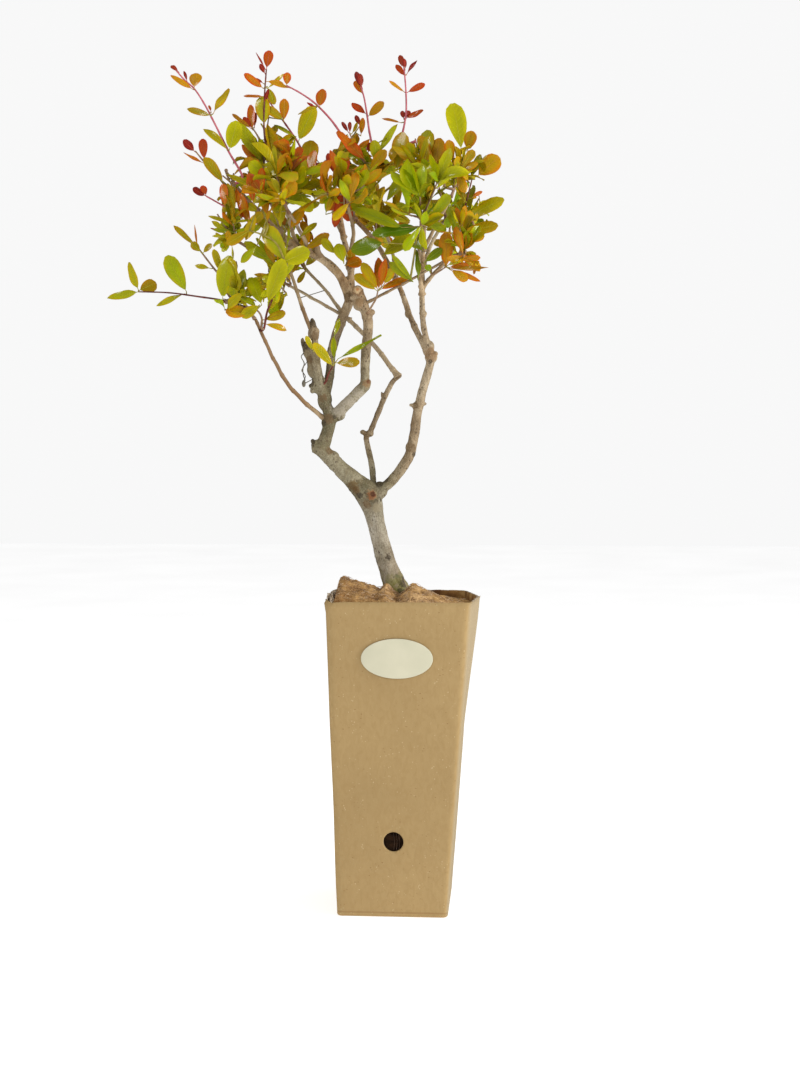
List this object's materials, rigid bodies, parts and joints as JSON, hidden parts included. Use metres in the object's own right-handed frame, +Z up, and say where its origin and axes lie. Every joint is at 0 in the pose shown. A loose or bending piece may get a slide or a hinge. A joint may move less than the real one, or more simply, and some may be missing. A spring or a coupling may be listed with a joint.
{
  "type": "potted pomegranate tree",
  "caption": "Young pomegranate tree with red-tipped yellow and green leaves over a forked bare trunk, standing in a tall tapered square pot of brown pulp board.",
  "frame": {"origin": "centre of the pot's flat underside", "axes": "+Z up through the pot and the crown, +X to the right of the pot's labelled front, +Y towards its back"},
  "size_m": [0.3953, 0.262, 0.8509],
  "materials": {
    "pulp_board": "matte kraft-brown pulp board with pale and dark flecks",
    "label_paper": "smooth cream paper",
    "root_ball": "dark moist fibre",
    "coir": "loose golden-brown coir fibre",
    "old_bark": "matte grey-beige bark with fine cracks",
    "young_bark": "smooth brown bark",
    "leaves_red": "glossy dark red young leaves",
    "leaves_orange": "glossy orange and amber leaves",
    "leaves_yellow_green": "glossy yellow-green leaves",
    "leaves_green": "glossy green leaves"
  },
  "bodies": {
    "root": {"pot": "pulp_board", "label": "label_paper", "root_ball": "root_ball", "coir_top": "coir", "trunk": "old_bark", "left_bough": "old_bark", "elbow_stub": "old_bark", "old_stub_bough": "old_bark", "snag": "old_bark", "snag_shoot": "young_bark", "inner_bough": "old_bark", "cut_bough_foot": "old_bark", "cut_bough": "old_bark", "slim_bough": "young_bark", "thin_stem": "old_bark", "thin_stem_upper": "young_bark", "back_left_shoot": "young_bark", "back_low_shoot": "young_bark", "right_bough": "old_bark", "right_inner_bough": "old_bark", "right_outer_bough": "old_bark", "far_right_shoot": "young_bark", "front_twig": "young_bark", "upper_left_bough": "old_bark", "upper_left_stub": "young_bark", "left_shoot": "young_bark", "left_top_shoot": "young_bark", "left_front_shoot": "young_bark", "left_back_shoot": "young_bark", "upright_bough": "old_bark", "top_shoot": "young_bark", "centre_front_shoot": "young_bark", "centre_back_shoot": "young_bark", "right_top_shoot": "young_bark", "right_back_shoot": "young_bark", "right_front_shoot": "young_bark", "foliage_upper_left": "leaves_red", "foliage_left": "leaves_orange", "foliage_left_top": "leaves_red", "foliage_lower_left": "leaves_yellow_green", "foliage_lower_left_inner": "leaves_yellow_green", "foliage_top_left": "leaves_red", "foliage_top_middle": "leaves_red", "foliage_centre_front": "leaves_yellow_green", "foliage_centre_back": "leaves_yellow_green", "foliage_centre": "leaves_yellow_green", "foliage_top_right": "leaves_orange", "foliage_right_top": "leaves_green", "foliage_right": "leaves_green", "foliage_lower_right": "leaves_yellow_green", "foliage_right_back": "leaves_green", "foliage_right_front": "leaves_green", "foliage_back_left": "leaves_yellow_green", "foliage_back_low": "leaves_yellow_green", "foliage_left_front": "leaves_orange", "foliage_left_back": "leaves_orange", "foliage_inner_sprig": "leaves_green", "foliage_spur_cluster": "leaves_orange"}
  },
  "joints": []
}
